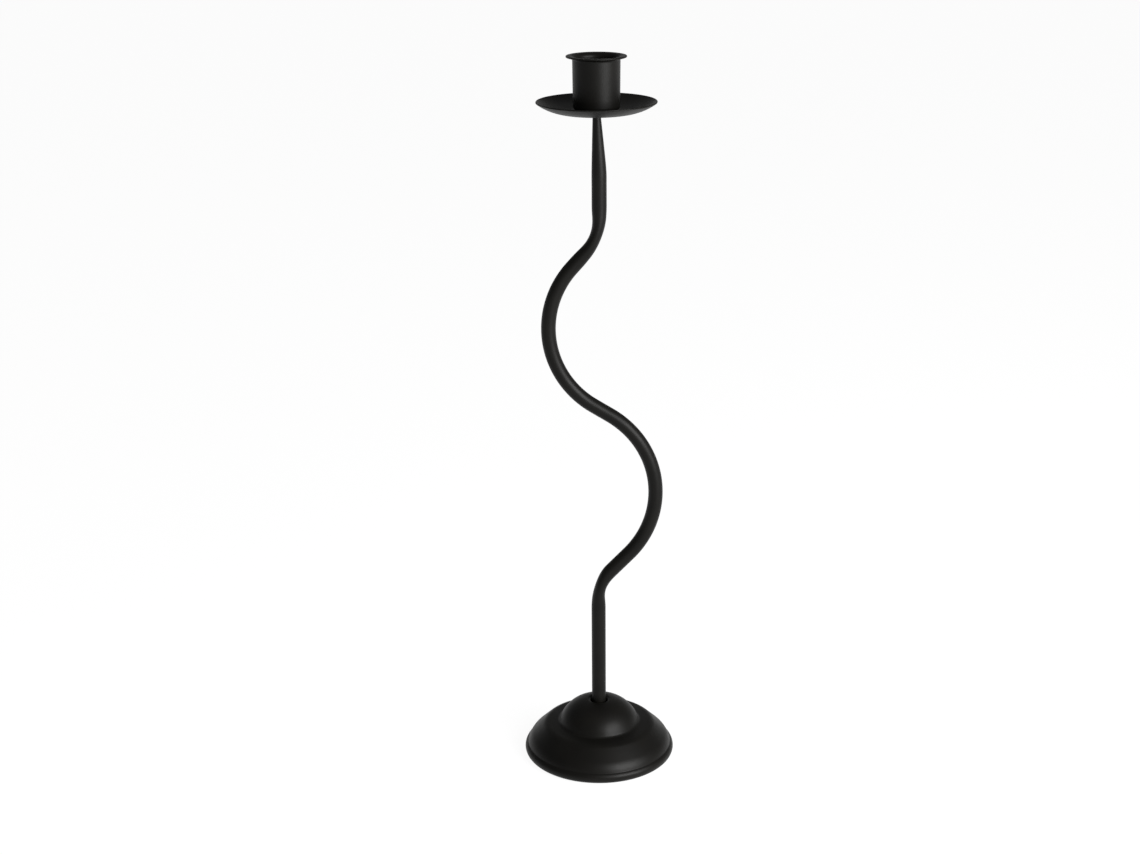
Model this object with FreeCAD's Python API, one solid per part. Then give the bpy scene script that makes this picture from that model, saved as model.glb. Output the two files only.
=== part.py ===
import FreeCAD, Part
import math
import os
from FreeCAD import Placement, Rotation, Vector

# A tall candlestick for one dinner candle. A steel tube bent into an S in one plane stands on a
# pressed base with a weight inside it, and carries a drip dish and a cup with a flared lip.
# Lengths are millimetres. The table is z = 0, the axis of base, dish and cup is x = y = 0, and
# the S lies in the plane y = 0, with its lower loop towards +x.

# Candle cup: drawn sheet, open at the top
candle_diameter = 22.0
candle_play = 0.6
cup_wall = 0.9
cup_height = 28.5
cup_draft = 0.2
cup_corner_radius = 3.0
lip_overhang = 3.4
lip_bend_radius = 1.6

# Drip dish: a flat middle that the cup stands on, and a rim that curves up
dish_diameter = 63.5
dish_flat_diameter = 31.4
dish_depth = 5.1
dish_sheet = 0.85

# Stem: one tube, straight out of the base, round two loops, straight again, and swaged to a tip
stem_diameter = 8.0
stem_wall = 1.0
foot_rise = 66.2
foot_bend_radius = 26.0
foot_lean = 43.9
foot_run = 14.2
foot_pinch_share = 0.185
foot_pinch_lead = 5.0
foot_pinch_tail = 0.5
right_loop_radius = 52.9
cross_run = 10.5
left_loop_radius = 51.0
neck_lean = 41.9
neck_run = 10.4
neck_bend_radius = 30.0
neck_pinch_share = 0.20
neck_pinch_lead = 7.0
neck_pinch_tail = 6.0
neck_rise = 20.8
neck_offset = 1.2
swage_length = 34.0
swage_shoulder_share = 0.15
tip_diameter = 4.1
tip_thread_depth = 12.0
pinch_spread_share = 0.7
pinch_sections = 13
swage_sections = 8

# Base shell: pressed sheet with a round crown, a shoulder between two straight slopes, a round
# skirt, a rolled rim, and a seat for the stem. The brow is the slope from the crown's groove out
# to the shoulder, and its angle is the direction square to it, up from the outward direction.
base_diameter = 85.7
base_height = 33.0
base_sheet = 1.0
rim_lift = 0.4
rim_bead_radius = 3.3
rim_curl_angle = 200.0
crown_groove_radius = 2.2
brow_angle = 86.0
rim_groove_radius = 0.8
seat_depth = 4.2
seat_corner_radius = 0.5
seat_mouth_bend = 1.0
seat_gap = 0.5

# The tiers follow the base: reach of the centre and radius as shares of the base's radius, and
# top as a share of its height
tier_shares = {
    "crown": (0.105, 0.449, 1),
    "shoulder": (0.660, 0.134, 0.574),
    "skirt": (0.690, 0.280, 0.466),
}

# Weight: a casting that fills the shell from below, with a boss under the seat
weight_gap = 0.6
weight_boss_diameter = 18.0
weight_boss_fillet = 1.5
weight_edge_radius = 1.0
bolt_pocket_diameter = 16.0
bolt_pocket_depth = 10.0

# Felt under the weight
felt_thickness = 2.0
felt_margin = 1.0

# Fasteners: a flat-headed cup screw into the tip, which leaves the candle its room, and a base
# bolt into a plug in the foot of the tube
hole_play = 0.25
thread_fit = 0.05
plug_fit = 0.02
plug_length = 14.0
screw_diameter = 3.0
screw_length = 12.0
screw_head_diameter = 7.0
screw_head_height = 0.9
screw_head_round = 0.5
screw_slot_width = 0.8
screw_slot_length = 2.6
screw_slot_depth = 1.3
bolt_diameter = 4.0
bolt_length = 30.0
bolt_head_flats = 7.0
bolt_head_height = 2.8
bolt_head_chamfer = 0.5
base_washer_diameter = 12.0
base_washer_thickness = 1.0
base_spring_diameter = 7.4
base_spring_thickness = 0.9
spring_split = 0.6
spring_split_slant = 20.0

# Every cut runs this far past the faces that it opens
overrun = 1.0

# Two ends of an outline nearer than this are one point
same_place = 0.000001

# Heights and radii that more than one piece uses
AXIS = Vector(0, 0, 1)
ORIGIN = Vector(0, 0, 0)
stem_radius = stem_diameter / 2
bore_radius = stem_radius - stem_wall
tip_radius = tip_diameter / 2
base_radius = base_diameter / 2
seat_z = base_height - seat_depth
seat_radius = stem_radius + seat_gap
seat_mouth_radius = seat_mouth_bend + base_sheet
screw_radius = screw_diameter / 2
bolt_radius = bolt_diameter / 2
screw_hole_radius = screw_radius + hole_play
bolt_hole_radius = bolt_radius + hole_play


def at(r, z):
    """Point of an outline: r out from the axis, z up."""
    return Vector(r, 0, z)


def around(centre, radius, angle):
    """Point on a circle in the outline's plane, at an angle in degrees from the outward direction."""
    turn = math.radians(angle)
    return centre + Vector(radius * math.cos(turn), 0, radius * math.sin(turn))


def arc(centre, radius, start, end):
    """Arc about a centre, from one angle to another; the larger one may come first."""
    middle = (start + end) / 2
    points = [around(centre, radius, angle) for angle in (start, middle, end)]
    return Part.Arc(*points).toShape()


def bearing(centre, target):
    """Angle in degrees at which a target point is seen from a centre."""
    step = target - centre
    return math.degrees(math.atan2(step.z, step.x))


def outline_face(runs):
    """Face inside a closed outline of points and arcs, joined in order by straight lines."""
    spans = []
    for run in runs:
        if isinstance(run, Vector):
            spans.append((run, run, None))
        else:
            spans.append((run.valueAt(run.FirstParameter), run.valueAt(run.LastParameter), run))
    edges = []
    for index, (start, end, edge) in enumerate(spans):
        if edge:
            edges.append(edge)
        following = spans[(index + 1) % len(spans)][0]
        if (following - end).Length > same_place:
            edges.append(Part.LineSegment(end, following).toShape())
    return Part.Face(Part.Wire(edges))


def turned(runs):
    """Solid of revolution about the axis."""
    return outline_face(runs).revolve(ORIGIN, AXIS, 360)


def raised(shape, height):
    """The same shape moved up."""
    shape.translate(AXIS * height)
    return shape


def ring(inner_radius, outer_radius, z, thickness):
    """Flat ring with its lower face at z."""
    outer = Part.makeCylinder(outer_radius, thickness, AXIS * z)
    bore = Part.makeCylinder(inner_radius, thickness + 2 * overrun, AXIS * (z - overrun))
    return outer.cut(bore)


def make_candle_cup(floor_z):
    """Cup drawn from one sheet, with a straight bore, a rounded foot and a lip bent out flat.

    The outside draws in a little towards the foot, where the wall is thinner.
    """
    socket_radius = candle_diameter / 2 + candle_play
    mouth_radius = socket_radius + cup_wall
    foot_radius = mouth_radius - cup_draft
    inner_corner = cup_corner_radius - cup_wall
    bend = at(mouth_radius + lip_bend_radius, cup_height - cup_wall - lip_bend_radius)
    outer_corner = at(foot_radius - cup_corner_radius, cup_corner_radius)
    corner = at(socket_radius - inner_corner, cup_corner_radius)
    edge = at(mouth_radius + lip_overhang - cup_wall / 2, cup_height - cup_wall / 2)
    outline = [
        at(screw_hole_radius, 0),
        arc(outer_corner, cup_corner_radius, -90, 0),
        arc(bend, lip_bend_radius, 180, 90),
        arc(edge, cup_wall / 2, -90, 90),
        arc(bend, lip_bend_radius + cup_wall, 90, 180),
        arc(corner, inner_corner, 0, -90),
        at(screw_hole_radius, cup_wall),
    ]
    return raised(turned(outline), floor_z)


def make_drip_dish(floor_z):
    """Shallow dish: a flat middle, then one arc up to a rounded rim."""
    flat_radius = dish_flat_diameter / 2
    half_sheet = dish_sheet / 2
    reach = dish_diameter / 2 - half_sheet - flat_radius
    middle_radius = (reach ** 2 + dish_depth ** 2) / (2 * dish_depth)
    centre = at(flat_radius, half_sheet + middle_radius)
    rim = at(flat_radius + reach, half_sheet + dish_depth)
    rim_angle = bearing(centre, rim)
    outline = [
        at(screw_hole_radius, 0),
        arc(centre, middle_radius + half_sheet, -90, rim_angle),
        arc(rim, half_sheet, rim_angle, rim_angle + 180),
        arc(centre, middle_radius - half_sheet, rim_angle, -90),
        at(screw_hole_radius, dish_sheet),
    ]
    return raised(turned(outline), floor_z)


def cross_lean_angle():
    """Lean of the crossing between the loops that brings the neck back over the base.

    The sideways steps of all bends and runs have to add up to the neck's offset. Only the two
    loops and the crossing depend on this lean, as loops * cos(lean) - cross_run * sin(lean).
    """
    foot = math.radians(foot_lean)
    neck = math.radians(neck_lean)
    foot_step = foot_bend_radius * (1 - math.cos(foot)) + foot_run * math.sin(foot)
    neck_step = neck_bend_radius * (1 - math.cos(neck)) + neck_run * math.sin(neck)
    loop_step = right_loop_radius * math.cos(foot) + left_loop_radius * math.cos(neck)
    wanted = neck_offset - foot_step - neck_step + loop_step
    loops = right_loop_radius + left_loop_radius
    swing = math.hypot(loops, cross_run)
    return math.degrees(math.acos(wanted / swing) - math.atan2(cross_run, loops))


def stem_course():
    """Runs of the stem from foot to neck.

    A straight run has a length. A bend has a radius and a turn in degrees, positive towards +x. A
    pinched bend also has the share by which it flattens, and how far the pinch reaches along the
    straight runs before and after it.
    """
    cross_lean = cross_lean_angle()
    return [
        ("straight", foot_rise - foot_pinch_lead),
        ("pinched", foot_bend_radius, foot_lean, foot_pinch_share, foot_pinch_lead, foot_pinch_tail),
        ("straight", foot_run - foot_pinch_tail),
        ("bend", right_loop_radius, -foot_lean - cross_lean),
        ("straight", cross_run),
        ("bend", left_loop_radius, cross_lean + neck_lean),
        ("straight", neck_run - neck_pinch_lead),
        ("pinched", neck_bend_radius, -neck_lean, neck_pinch_share, neck_pinch_lead, neck_pinch_tail),
        ("straight", neck_rise - neck_pinch_tail),
    ]


def heading(lean):
    """Direction of a run that leans from the vertical towards +x, in degrees."""
    turn = math.radians(lean)
    return Vector(math.sin(turn), 0, math.cos(turn))


def bend_point(start, lean, radius, turn, share):
    """Point and lean a share of the way round a bend."""
    side = math.copysign(1, turn)
    across = heading(lean + 90 * side)
    centre = start + across * radius
    here = lean + turn * share
    return centre - heading(here + 90 * side) * radius, here


def section(point, lean, half_width, half_depth):
    """Closed oval square to the tube: half_width in the plane of the S, half_depth across it."""
    along = heading(lean)
    frame = Rotation(Vector(0, 1, 0), along.cross(Vector(0, 1, 0)), along, "ZXY")
    if half_depth > half_width:
        curve = Part.Ellipse(ORIGIN, half_depth, half_width)
    else:
        curve = Part.Circle(ORIGIN, AXIS, half_width)
    oval = Part.Wire(curve.toShape())
    oval.Placement = Placement(point, frame)
    return oval


def pinched_point(start, lean, radius, turn, lead, distance):
    """Point and lean at a distance along a straight lead, the bend after it, and on from there."""
    bend_length = radius * math.radians(abs(turn))
    corner = start + heading(lean) * min(distance, lead)
    share = min(max(distance - lead, 0) / bend_length, 1)
    point, here = bend_point(corner, lean, radius, turn, share)
    past = max(distance - lead - bend_length, 0)
    return point + heading(here) * past, here


def pinched_bend(start, lean, radius, turn, pinch_share, lead, tail, inset):
    """Bend that flattens towards its middle, as a thin tube does on a bending form.

    Returns its solid, and the point and lean at its end.
    """
    length = lead + radius * math.radians(abs(turn)) + tail
    ovals = []
    for index in range(pinch_sections):
        share = index / (pinch_sections - 1)
        press = pinch_share * math.sin(math.pi * share) ** 2
        point, here = pinched_point(start, lean, radius, turn, lead, length * share)
        width = stem_radius * (1 - press) - inset
        depth = stem_radius * (1 + press * pinch_spread_share) - inset
        ovals.append(section(point, here, width, depth))
    return Part.makeLoft(ovals, True), point, here


def stem_core(inset):
    """The solid that the stem fills if its surface is drawn in by inset, and its end point."""
    point = at(0, seat_z)
    lean = 0
    radius = stem_radius - inset
    pieces = []
    for kind, size, *bend in stem_course():
        if kind == "straight":
            pieces.append(Part.makeCylinder(radius, size, point, heading(lean)))
            point = point + heading(lean) * size
        elif kind == "pinched":
            piece, point, lean = pinched_bend(point, lean, size, *bend, inset)
            pieces.append(piece)
        else:
            turn = bend[0]
            side = math.copysign(1, turn)
            centre = point + heading(lean + 90 * side) * size
            disc = Part.Face(section(point, lean, radius, radius))
            pieces.append(disc.revolve(centre, Vector(0, 1, 0), turn))
            point, lean = bend_point(point, lean, size, turn, 1)
    return pieces, point


def swage(start, end_z, start_radius, end_radius):
    """Taper from the tube to the tip over the axis, with a rounded shoulder at the wide end."""
    softness = swage_shoulder_share
    ovals = []
    for index in range(swage_sections):
        share = index / (swage_sections - 1)
        rise = math.hypot(share, softness) - softness
        closing = rise / (math.hypot(1, softness) - softness)
        point = at(start.x * (1 - closing), start.z + (end_z - start.z) * share)
        radius = start_radius + (end_radius - start_radius) * closing
        ovals.append(section(point, 0, radius, radius))
    return Part.makeLoft(ovals, True)


def make_stem_tube():
    """Bent tube, open at the foot, with a threaded hole down its tip. Returns it and its top."""
    outer, neck = stem_core(0)
    bore, _ = stem_core(stem_wall)
    top_z = neck.z + swage_length
    thread_z = top_z - tip_thread_depth
    thread_radius = screw_radius + thread_fit
    outer.append(swage(neck, top_z, stem_radius, tip_radius))
    bore.append(swage(neck, thread_z, bore_radius, thread_radius))
    bore.append(Part.makeCylinder(thread_radius, tip_thread_depth + overrun, at(0, thread_z)))
    bore.append(Part.makeCylinder(bore_radius, overrun, at(0, seat_z - overrun)))
    tube = outer[0].multiFuse(outer[1:]).removeSplitter()
    hollow = bore[0].multiFuse(bore[1:]).removeSplitter()
    return tube.cut(hollow), top_z


def groove(lower, lower_radius, upper, upper_radius, radius):
    """Centre of the small arc that rolls in the groove between two rounded tiers."""
    reach_a = lower_radius + radius
    reach_b = upper_radius + radius
    step = upper - lower
    span = step.Length
    along = (span ** 2 + reach_a ** 2 - reach_b ** 2) / (2 * span)
    aside = math.sqrt(reach_a ** 2 - along ** 2)
    direction = step / span
    outward = Vector(direction.z, 0, -direction.x)
    return lower + direction * along + outward * aside


def base_tiers():
    """Centre and outer radius of each rounded tier, from the seat's mouth out to the rim bead."""
    tiers = {}
    for name, (reach_share, radius_share, top_share) in tier_shares.items():
        radius = radius_share * base_radius
        centre = at(reach_share * base_radius, top_share * base_height - radius)
        tiers[name] = (centre, radius)
    crown, crown_radius = tiers["crown"]
    mouth_reach = seat_radius + seat_mouth_radius
    drop = crown_radius - seat_mouth_radius
    mouth_z = crown.z + math.sqrt(drop ** 2 - (crown.x - mouth_reach) ** 2)
    bead = at(base_radius - rim_bead_radius, rim_lift + rim_bead_radius)
    tiers["mouth"] = (at(mouth_reach, mouth_z), seat_mouth_radius)
    tiers["bead"] = (bead, rim_bead_radius)
    return tiers


def flank_angle():
    """Direction square to the straight flank that touches both shoulder and skirt, in degrees."""
    tiers = base_tiers()
    shoulder, shoulder_radius = tiers["shoulder"]
    skirt, skirt_radius = tiers["skirt"]
    span = (skirt - shoulder).Length
    lead = math.acos((shoulder_radius - skirt_radius) / span)
    return bearing(shoulder, skirt) + math.degrees(lead)


def crown_hollow():
    """Centre of the arc in the groove that touches the crown and the straight brow."""
    tiers = base_tiers()
    shoulder, shoulder_radius = tiers["shoulder"]
    crown, crown_radius = tiers["crown"]
    above_shoulder = around(shoulder, shoulder_radius + crown_groove_radius, brow_angle)
    along_brow = around(ORIGIN, 1, brow_angle + 90)
    step = above_shoulder - crown
    half = step.dot(along_brow)
    rest = step.dot(step) - (crown_radius + crown_groove_radius) ** 2
    return above_shoulder + along_brow * (-half - math.sqrt(half ** 2 - rest))


def rim_hollow():
    """Centre of the small arc in the groove between skirt and rim bead."""
    tiers = base_tiers()
    return groove(*tiers["bead"], *tiers["skirt"], rim_groove_radius)


def shell_side(inset):
    """One side of the pressed sheet, from the seat's corner to the end of the rim's curl.

    Round tiers lose the inset from their radius and grooves gain it, so that the two sides of
    the sheet stay parallel all the way. Brow and flank are the straight lines between arcs.
    """
    tiers = base_tiers()
    mouth, mouth_radius = tiers["mouth"]
    crown, crown_radius = tiers["crown"]
    shoulder, shoulder_radius = tiers["shoulder"]
    skirt, skirt_radius = tiers["skirt"]
    bead, bead_radius = tiers["bead"]
    upper = crown_hollow()
    lower = rim_hollow()
    flank = flank_angle()
    mouth_end = bearing(crown, mouth)
    corner = at(seat_radius - seat_corner_radius, seat_z + seat_corner_radius)
    return [
        arc(corner, seat_corner_radius + inset, -90, 0),
        arc(mouth, mouth_radius - inset, 180, mouth_end),
        arc(crown, crown_radius - inset, mouth_end, bearing(crown, upper)),
        arc(upper, crown_groove_radius + inset, bearing(upper, crown), brow_angle - 180),
        arc(shoulder, shoulder_radius - inset, brow_angle, flank),
        arc(skirt, skirt_radius - inset, flank, bearing(skirt, lower)),
        arc(lower, rim_groove_radius + inset, *rolling(lower, skirt, bead)),
        arc(bead, bead_radius - inset, bearing(bead, lower), -rim_curl_angle),
    ]


def rolling(hollow, before, after):
    """Angles at which the arc in a groove leaves one tier and meets the next, growing."""
    first = bearing(hollow, before)
    last = bearing(hollow, after)
    if last < first:
        last = last + 360
    return first, last


def reverse_runs(runs):
    """The same outline walked the other way."""
    flipped = []
    for run in reversed(runs):
        first = run.FirstParameter
        last = run.LastParameter
        points = [run.valueAt(value) for value in (last, (first + last) / 2, first)]
        flipped.append(Part.Arc(*points).toShape())
    return flipped


def make_base_shell():
    """Pressed cover with a seat for the stem in its top and a rolled rim."""
    outer = shell_side(0)
    inner = reverse_runs(shell_side(base_sheet))
    floor = [at(bolt_hole_radius, seat_z - base_sheet), at(bolt_hole_radius, seat_z)]
    return turned(outer + inner + floor)


def weight_side(drawn_in):
    """Outline of the weight from its edge up to the flank's top, along the inside of the shell.

    A narrow weight meets the straight flank, and a wide one the round skirt below it.
    """
    tiers = base_tiers()
    shoulder, shoulder_radius = tiers["shoulder"]
    skirt, skirt_radius = tiers["skirt"]
    flank = flank_angle()
    top = around(shoulder, shoulder_radius - drawn_in, flank)
    foot = around(skirt, skirt_radius - drawn_in, flank)
    edge_reach = weight_radius()
    if edge_reach < foot.x:
        share = (edge_reach - top.x) / (foot.x - top.x)
        return [top + (foot - top) * share, top]
    edge_angle = math.degrees(math.acos((edge_reach - skirt.x) / (skirt_radius - drawn_in)))
    return [arc(skirt, skirt_radius - drawn_in, edge_angle, flank), top]


def make_base_weight():
    """Casting under the shell: a wide disc, shaped like the shell's side, with a boss to the seat."""
    side = weight_side(base_sheet + weight_gap)
    boss_radius = weight_boss_diameter / 2
    boss_z = seat_z - base_sheet
    fillet = at(boss_radius + weight_boss_fillet, side[-1].z + weight_boss_fillet)
    lower_edge = at(weight_radius() - weight_edge_radius, felt_thickness + weight_edge_radius)
    pocket_radius = bolt_pocket_diameter / 2
    pocket_z = felt_thickness + bolt_pocket_depth
    outline = [
        at(pocket_radius, felt_thickness),
        arc(lower_edge, weight_edge_radius, -90, 0),
        *side,
        arc(fillet, weight_boss_fillet, -90, -180),
        at(boss_radius, boss_z),
        at(bolt_hole_radius, boss_z),
        at(bolt_hole_radius, pocket_z),
        at(pocket_radius, pocket_z),
    ]
    return turned(outline)


def weight_radius():
    """Radius of the weight, clear of the rim's curl."""
    return base_radius - 2 * rim_bead_radius - weight_gap


def make_felt_pad():
    """Felt disc glued under the weight; the candlestick stands on it."""
    return Part.makeCylinder(weight_radius() - felt_margin, felt_thickness)


def make_stem_plug():
    """Threaded plug pressed into the foot of the tube."""
    return ring(bolt_radius + thread_fit, bore_radius - plug_fit, seat_z, plug_length)


def spring_washer(hole_radius, outer_radius, z, thickness):
    """Split ring, drawn flat as it lies when the screw is tight."""
    washer = ring(hole_radius, outer_radius, z, thickness)
    slot = Part.makeBox(outer_radius + overrun, spring_split, thickness * 3)
    slot.translate(Vector(0, -spring_split / 2, -thickness * 1.5))
    slot.rotate(ORIGIN, Vector(1, 0, 0), spring_split_slant)
    slot.translate(AXIS * (z + thickness / 2))
    return washer.cut(slot)


def make_cup_screw(head_z):
    """Screw with a thin flat head, pointing down; its cross slot reaches into the shank."""
    head_radius = screw_head_diameter / 2
    crown = at(head_radius - screw_head_round, screw_head_height - screw_head_round)
    outline = [
        at(0, -screw_length),
        at(screw_radius, -screw_length),
        at(screw_radius, 0),
        at(head_radius, 0),
        arc(crown, screw_head_round, 0, 90),
        at(0, screw_head_height),
    ]
    screw = turned(outline)
    slot = Part.makeBox(screw_slot_length, screw_slot_width, screw_slot_depth + overrun)
    slot.translate(Vector(-screw_slot_length / 2, -screw_slot_width / 2,
                          screw_head_height - screw_slot_depth))
    for angle in (0, 90):
        bar = slot.copy()
        bar.rotate(ORIGIN, AXIS, angle)
        screw = screw.cut(bar)
    return raised(screw, head_z)


def make_base_bolt(head_z):
    """Hexagon bolt, pointing up, with its head's upper face at head_z."""
    corner_radius = bolt_head_flats / math.sqrt(3)
    corners = [around(ORIGIN, corner_radius, 60 * index) for index in range(7)]
    flat = [Vector(corner.x, corner.z, -bolt_head_height) for corner in corners]
    prism = Part.Face(Part.makePolygon(flat)).extrude(AXIS * bolt_head_height)
    blank = turned([
        at(0, -bolt_head_height),
        at(corner_radius - bolt_head_chamfer, -bolt_head_height),
        at(corner_radius, bolt_head_chamfer - bolt_head_height),
        at(corner_radius, 0),
        at(0, 0),
    ])
    head = prism.common(blank)
    shank = Part.makeCylinder(bolt_radius, bolt_length)
    return raised(head.fuse(shank).removeSplitter(), head_z)


def build():
    """All pieces by name, in their places."""
    stem, dish_z = make_stem_tube()
    cup_z = dish_z + dish_sheet
    pocket_z = felt_thickness + bolt_pocket_depth
    base_washer_z = pocket_z - base_washer_thickness
    base_spring_z = base_washer_z - base_spring_thickness
    return {
        "candle_cup": make_candle_cup(cup_z),
        "drip_dish": make_drip_dish(dish_z),
        "stem_tube": stem,
        "stem_foot_plug": make_stem_plug(),
        "base_shell": make_base_shell(),
        "base_weight": make_base_weight(),
        "felt_pad": make_felt_pad(),
        "cup_screw": make_cup_screw(cup_z + cup_wall),
        "base_bolt": make_base_bolt(base_spring_z),
        "base_washer": ring(bolt_hole_radius, base_washer_diameter / 2, base_washer_z,
                            base_washer_thickness),
        "base_spring_washer": spring_washer(bolt_hole_radius, base_spring_diameter / 2,
                                            base_spring_z, base_spring_thickness),
    }


def main():
    """Writes one file per piece and prints what was made."""
    os.makedirs("parts", exist_ok=True)
    pieces = build()
    for name, shape in pieces.items():
        box = shape.optimalBoundingBox()
        print(f"{name}: {len(shape.Solids)} solid, valid {shape.isValid()}, "
              f"{shape.Volume:.1f} mm3, z {box.ZMin:.2f} to {box.ZMax:.2f}")
        shape.exportStep(f"parts/{name}.step")
    print(f"crossing leans {cross_lean_angle():.2f} degrees")
    print(f"overall height {pieces['candle_cup'].optimalBoundingBox().ZMax:.2f} mm")


main()
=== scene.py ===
# %% [markdown]
# # A black candlestick with an S-bend stem
#
# The candlestick is four painted metal pieces that show: a pressed base in three rounded tiers, a
# tube bent in an S, a shallow drip dish and a cup with a lip. Everything about it is smooth and
# thin, so what makes it look real is the exact run of its outlines, the thickness of its sheet
# and the way a satin black paint breaks up a highlight.
#
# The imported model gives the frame: every piece made here lies where a solid of that model lies
# and stands for it. Lengths are metres, and the sizes below are written in millimetres and
# multiplied once.

# %% Load the frame
import math
import bpy
import numpy as np
from mathutils import Matrix, Vector


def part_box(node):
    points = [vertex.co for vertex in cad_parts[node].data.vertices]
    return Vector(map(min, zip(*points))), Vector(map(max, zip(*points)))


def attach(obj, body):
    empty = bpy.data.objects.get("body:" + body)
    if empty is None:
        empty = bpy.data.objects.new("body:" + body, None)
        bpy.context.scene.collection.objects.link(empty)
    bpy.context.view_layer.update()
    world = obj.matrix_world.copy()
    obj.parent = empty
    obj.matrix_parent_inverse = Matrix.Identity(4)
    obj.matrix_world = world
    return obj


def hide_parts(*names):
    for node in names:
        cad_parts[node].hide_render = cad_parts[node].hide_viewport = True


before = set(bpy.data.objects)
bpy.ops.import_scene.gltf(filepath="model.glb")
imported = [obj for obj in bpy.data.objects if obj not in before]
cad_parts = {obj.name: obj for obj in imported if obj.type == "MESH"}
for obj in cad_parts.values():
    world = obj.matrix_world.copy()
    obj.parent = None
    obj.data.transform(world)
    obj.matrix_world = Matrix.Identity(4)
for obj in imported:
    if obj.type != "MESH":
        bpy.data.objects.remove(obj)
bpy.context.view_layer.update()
MM = 0.001

# %% [markdown]
# ## From a grid of points to a piece
#
# Each surface here closes on itself twice. An outline of the sheet, outside and inside, runs
# round to its own start, and the outline is carried round the axis, or the tube's circle round
# its bore, back to where it began. Such a shape is a ring, and needs no caps, poles or seams. So
# one helper is enough: it takes points in rows and columns, and joins each to the next in its
# row and in its column, with both ends wrapped round. The felt is the one piece without a hole,
# and gets a small helper of its own later.

# %% Turn a grid of points into a mesh object
SHARP_ANGLE = math.radians(38)


def mesh_piece(name, points, faces):
    """Object at the origin from an array of points (n, 3) and faces, smooth but for sharp corners."""
    mesh = bpy.data.meshes.new(name)
    mesh.from_pydata(points.tolist(), [], faces)
    mesh.polygons.foreach_set("use_smooth", np.ones(len(mesh.polygons), dtype=bool))
    mesh.set_sharp_from_angle(angle=SHARP_ANGLE)
    piece = bpy.data.objects.new(name, mesh)
    bpy.context.scene.collection.objects.link(piece)
    print(f"{name}: {len(mesh.vertices)} points, {len(mesh.polygons)} faces")
    return piece


def ring_faces(rows, columns):
    """Faces of a grid that wraps both ways: point, next row, next row and column, next column."""
    index = np.arange(rows * columns).reshape(rows, columns)
    down = np.roll(index, -1, axis=0)
    corners = [index, np.roll(index, -1, axis=1), np.roll(down, -1, axis=1), down]
    return np.stack(corners, axis=-1).reshape(-1, 4).tolist()


def ring_piece(name, grid):
    """Closed object from points in rows and columns, an array of (rows, columns, 3)."""
    rows, columns, _ = grid.shape
    return mesh_piece(name, grid.reshape(-1, 3), ring_faces(rows, columns))


# %% [markdown]
# ## Outlines of pressed sheet
#
# Cup, dish and base are pressed or spun from flat sheet, so each is round about the axis and has
# the same thickness nearly everywhere. On paper such a piece is a list of arcs joined by straight
# runs: out along the outside, round the edge and back along the inside. Bezier curves would do
# too, but arcs are what the press tools are made of, and two arcs about one centre keep the
# sheet's thickness exactly.

# %% Draw outlines with arcs, and turn them about the axis
ARC_STEP = 4.0
SAME_PLACE = 0.001 * MM


def arc(centre, radius, start, end):
    """Points on a circle: centre + radius * (cos, sin) of each angle, in degrees, both ends in."""
    count = max(3, math.ceil(abs(end - start) / ARC_STEP) + 1)
    angle = np.radians(np.linspace(start, end, count))
    return np.asarray(centre) + radius * np.stack([np.cos(angle), np.sin(angle)], axis=-1)


def bearing(centre, target):
    """Angle in degrees at which a target is seen from a centre."""
    return math.degrees(math.atan2(target[1] - centre[1], target[0] - centre[0]))


def outline_of(*runs):
    """One array of (reach, height) from points and arcs, without repeats where two runs meet."""
    points = np.concatenate([np.atleast_2d(run) for run in runs])
    steps = np.linalg.norm(points - np.roll(points, 1, axis=0), axis=1)
    return points[steps > SAME_PLACE]


def turned(outline, columns):
    """Grid of an outline carried round the axis: (r cos a, r sin a, z) at evenly spaced angles."""
    angle = np.linspace(0, math.tau, columns, endpoint=False)
    reach, height = outline[:, :1], outline[:, 1:]
    level = np.repeat(height, columns, axis=1)
    return np.stack([reach * np.cos(angle), reach * np.sin(angle), level], axis=-1)


# %% [markdown]
# ## The candle cup
#
# A deep-drawn cup: the sheet is pushed down through a ring, which leaves a straight wall with a
# round corner at the floor, and a lip bent out flat at the top. The bore is straight, for the
# candle, and the outside draws in slightly to the floor. The hole in the middle is for the screw.
# Its height and reach come from the frame, and only the sheet and the press radii are given here.

# %% Make the cup
CUP_WALL = 0.9 * MM
CUP_DRAFT = 0.2 * MM
CUP_CORNER = 3.0 * MM
LIP_BEND = 1.6 * MM
LIP_OVERHANG = 3.4 * MM
SCREW_HOLE = 1.75 * MM
CUP_COLUMNS = 160


def cup_outline():
    """Outline of the cup: up its outside, round the lip and down its bore to the hole."""
    low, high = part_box("candle_cup")
    mouth = high.x - LIP_OVERHANG
    bore = mouth - CUP_WALL
    inner_corner = CUP_CORNER - CUP_WALL
    foot = mouth - CUP_DRAFT
    bend = (mouth + LIP_BEND, high.z - CUP_WALL - LIP_BEND)
    edge = (high.x - CUP_WALL / 2, high.z - CUP_WALL / 2)
    return outline_of(
        (SCREW_HOLE, low.z),
        arc((foot - CUP_CORNER, low.z + CUP_CORNER), CUP_CORNER, -90, 0),
        arc(bend, LIP_BEND, 180, 90),
        arc(edge, CUP_WALL / 2, -90, 90),
        arc(bend, LIP_BEND + CUP_WALL, 90, 180),
        arc((bore - inner_corner, low.z + CUP_CORNER), inner_corner, 0, -90),
        (SCREW_HOLE, low.z + CUP_WALL),
    )


cup = ring_piece("painted_cup", turned(cup_outline(), CUP_COLUMNS))

# %% [markdown]
# ## The drip dish
#
# A shallow dish catches the wax. Its middle is flat, because the cup is clamped on it, and its
# rim is one arc that starts level and curves up. The arc's radius follows from how far it reaches
# and how deep the dish is: a circle that leaves a line level and rises by d over a reach w has the
# radius (w * w + d * d) / (2 * d).

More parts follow.
